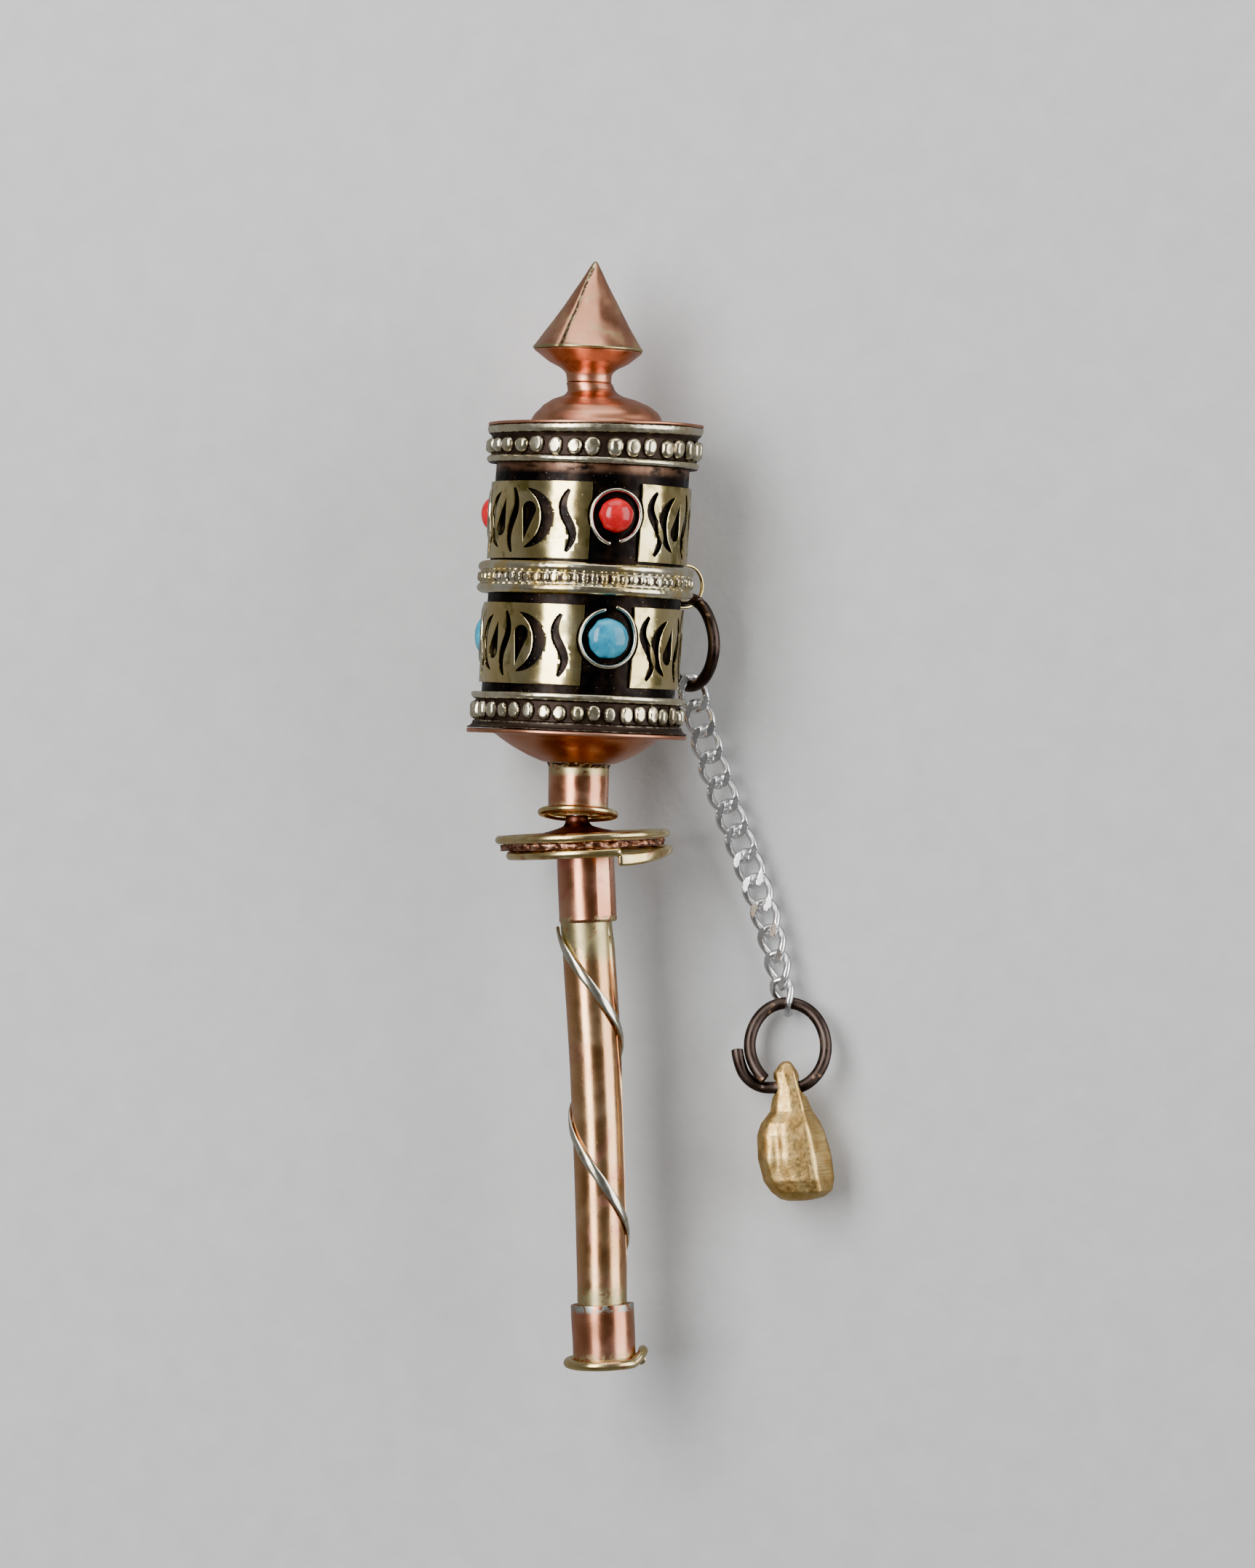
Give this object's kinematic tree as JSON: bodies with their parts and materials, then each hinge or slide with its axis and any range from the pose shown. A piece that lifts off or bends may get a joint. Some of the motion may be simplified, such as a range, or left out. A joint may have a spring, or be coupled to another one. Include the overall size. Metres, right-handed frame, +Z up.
{
  "type": "prayer wheel",
  "caption": "Hand-held prayer wheel: a banded copper drum with stones spins on a spindle above a wire-wound handle, with a chain and cast weight.",
  "frame": {"origin": "centre of the flat crown of the stone set in the handle's foot, on the handle's axis", "axes": "+Z up along the handle's axis towards the drum, -Y the front, +X to the right seen from the front, on the side where the chain hangs"},
  "size_m": [0.0547, 0.035, 0.1731],
  "materials": {
    "copper": "pink copper sheet, polished by handling, with pale solder stains",
    "red_copper": "red copper sheet, polished",
    "bronze": "rolled bronze-coloured copper tube, satin with fine pits",
    "brass": "drawn brass wire, worn bright",
    "plaque_brass": "polished brass sheet with darker tarnish spots",
    "white_brass": "pale pressed brass, bright on the high points and dark in the recesses",
    "cast_brass": "matt sand-cast brass, filed on one face",
    "dark_copper": "copper sheet blackened with patina",
    "silver": "bright silver-plated curb chain",
    "white_wire": "flattened white-metal wire",
    "oxidised_wire": "blackened wire, brown where worn",
    "steel": "plain drawn rod",
    "coral": "polished red coral bead",
    "turquoise": "polished turquoise cabochon",
    "paper": "rolled plain handmade paper"
  },
  "bodies": {
    "handle": {"handle_tube": "bronze", "spiral_wire": "white_wire", "lower_ferrule": "copper", "pommel_ring": "brass", "pommel_stone": "coral", "upper_ferrule": "copper", "guard_disc": "copper", "guard_ring_upper": "brass", "guard_ring_lower": "brass", "neck_cone": "red_copper"},
    "spindle": {"spindle": "steel", "thrust_washer": "brass", "retaining_nut": "brass"},
    "drum": {"drum_base": "copper", "drum_wall": "dark_copper", "core_tube": "brass", "prayer_scroll": "paper", "collar_tube": "copper", "collar_ring": "brass", "base_band": "white_brass", "mid_band": "white_brass", "eyelet": "brass", "plaque_upper_1": "plaque_brass", "plaque_upper_2": "plaque_brass", "plaque_upper_3": "plaque_brass", "plaque_lower_1": "plaque_brass", "plaque_lower_2": "plaque_brass", "plaque_lower_3": "plaque_brass", "coral_1": "coral", "coral_2": "coral", "coral_3": "coral", "turquoise_1": "turquoise", "turquoise_2": "turquoise", "turquoise_3": "turquoise", "bezel_upper_1": "white_wire", "bezel_upper_2": "white_wire", "bezel_upper_3": "white_wire", "bezel_lower_1": "white_wire", "bezel_lower_2": "white_wire", "bezel_lower_3": "white_wire"},
    "lid": {"lid_cap": "copper", "lid_band": "white_brass", "finial_cup": "red_copper", "finial_cone": "copper"},
    "upper_ring": {"upper_ring": "oxidised_wire"},
    "link_01": {"link_01": "silver"},
    "link_02": {"link_02": "silver"},
    "link_03": {"link_03": "silver"},
    "link_04": {"link_04": "silver"},
    "link_05": {"link_05": "silver"},
    "link_06": {"link_06": "silver"},
    "link_07": {"link_07": "silver"},
    "link_08": {"link_08": "silver"},
    "link_09": {"link_09": "silver"},
    "link_10": {"link_10": "silver"},
    "link_11": {"link_11": "silver"},
    "link_12": {"link_12": "silver"},
    "link_13": {"link_13": "silver"},
    "lower_ring": {"lower_ring": "oxidised_wire"},
    "weight": {"weight": "cast_brass"}
  },
  "joints": [
    {"name": "spindle_lean", "type": "hinge", "parent": "handle", "child": "spindle", "pos_m": [-0.00075, 0, 0.086], "axis": [0, 1, 0], "range_deg": [-9, 0]},
    {"name": "drum_spin", "type": "hinge", "parent": "spindle", "child": "drum", "pos_m": [-0.00075, 0, 0.086], "axis": [0.0819, 0, 0.9966], "continuous": true},
    {"name": "lid_lift", "type": "slide", "parent": "drum", "child": "lid", "axis": [0.0819, 0, 0.9966], "range_m": [0, 0.025]},
    {"name": "upper_ring_swing", "type": "hinge", "parent": "drum", "child": "upper_ring", "pos_m": [0.018, 0.01186, 0.12208], "axis": [0.6018, -0.7986, 0], "range_deg": [0, 80]},
    {"name": "link_01_swing", "type": "hinge", "parent": "upper_ring", "child": "link_01", "pos_m": [0.018, 0.01186, 0.10636], "axis": [0.6018, -0.7986, 0], "range_deg": [-8, 30]},
    {"name": "link_02_swing", "type": "hinge", "parent": "link_01", "child": "link_02", "pos_m": [0.01881, 0.01225, 0.10257], "axis": [0.8043, -0.5843, 0.1079], "range_deg": [-15, 15]},
    {"name": "link_03_swing", "type": "hinge", "parent": "link_02", "child": "link_03", "pos_m": [0.01937, 0.01258, 0.09974], "axis": [-0.6582, -0.7, -0.2769], "range_deg": [-28, 28]},
    {"name": "link_04_swing", "type": "hinge", "parent": "link_03", "child": "link_04", "pos_m": [0.02076, 0.01335, 0.09448], "axis": [-0.7091, 0.7, -0.0841], "range_deg": [-28, 28]},
    {"name": "link_05_swing", "type": "hinge", "parent": "link_04", "child": "link_05", "pos_m": [0.02148, 0.0138, 0.09169], "axis": [0.6484, 0.7021, 0.2942], "range_deg": [-28, 28]},
    {"name": "link_06_swing", "type": "hinge", "parent": "link_05", "child": "link_06", "pos_m": [0.02313, 0.01445, 0.0865], "axis": [0.6992, -0.7021, 0.1346], "range_deg": [-28, 28]},
    {"name": "link_07_swing", "type": "hinge", "parent": "link_06", "child": "link_07", "pos_m": [0.02403, 0.01487, 0.08376], "axis": [-0.6638, -0.7064, -0.2458], "range_deg": [-28, 28]},
    {"name": "link_08_swing", "type": "hinge", "parent": "link_07", "child": "link_08", "pos_m": [0.02571, 0.01511, 0.07854], "axis": [-0.6828, 0.7064, -0.1865], "range_deg": [-6, 6]},
    {"name": "link_09_swing", "type": "hinge", "parent": "link_08", "child": "link_09", "pos_m": [0.02666, 0.01519, 0.07578], "axis": [0.8773, 0.4226, 0.2274], "range_deg": [-6, 6]},
    {"name": "link_10_swing", "type": "hinge", "parent": "link_09", "child": "link_10", "pos_m": [0.02804, 0.01519, 0.07047], "axis": [0.4091, -0.9063, 0.106], "range_deg": [-6, 6]},
    {"name": "link_11_swing", "type": "hinge", "parent": "link_10", "child": "link_11", "pos_m": [0.02881, 0.01519, 0.06766], "axis": [-0.9807, -0.0872, -0.1749], "range_deg": [-6, 6]},
    {"name": "link_12_swing", "type": "hinge", "parent": "link_11", "child": "link_12", "pos_m": [0.02977, 0.01519, 0.06225], "axis": [-0.0858, 0.9962, -0.0153], "range_deg": [-6, 6]},
    {"name": "link_13_swing", "type": "hinge", "parent": "link_12", "child": "link_13", "pos_m": [0.03005, 0.01519, 0.05935], "axis": [0.9415, -0.2588, 0.216], "range_deg": [-6, 6]},
    {"name": "lower_ring_swing", "type": "hinge", "parent": "link_13", "child": "lower_ring", "pos_m": [0.03128, 0.01519, 0.05399], "axis": [0, 1, 0], "range_deg": [-35, 35]},
    {"name": "weight_swing", "type": "hinge", "parent": "lower_ring", "child": "weight", "pos_m": [0.03092, 0.01136, 0.0422], "axis": [1, 0, 0], "range_deg": [-45, 45]}
  ]
}
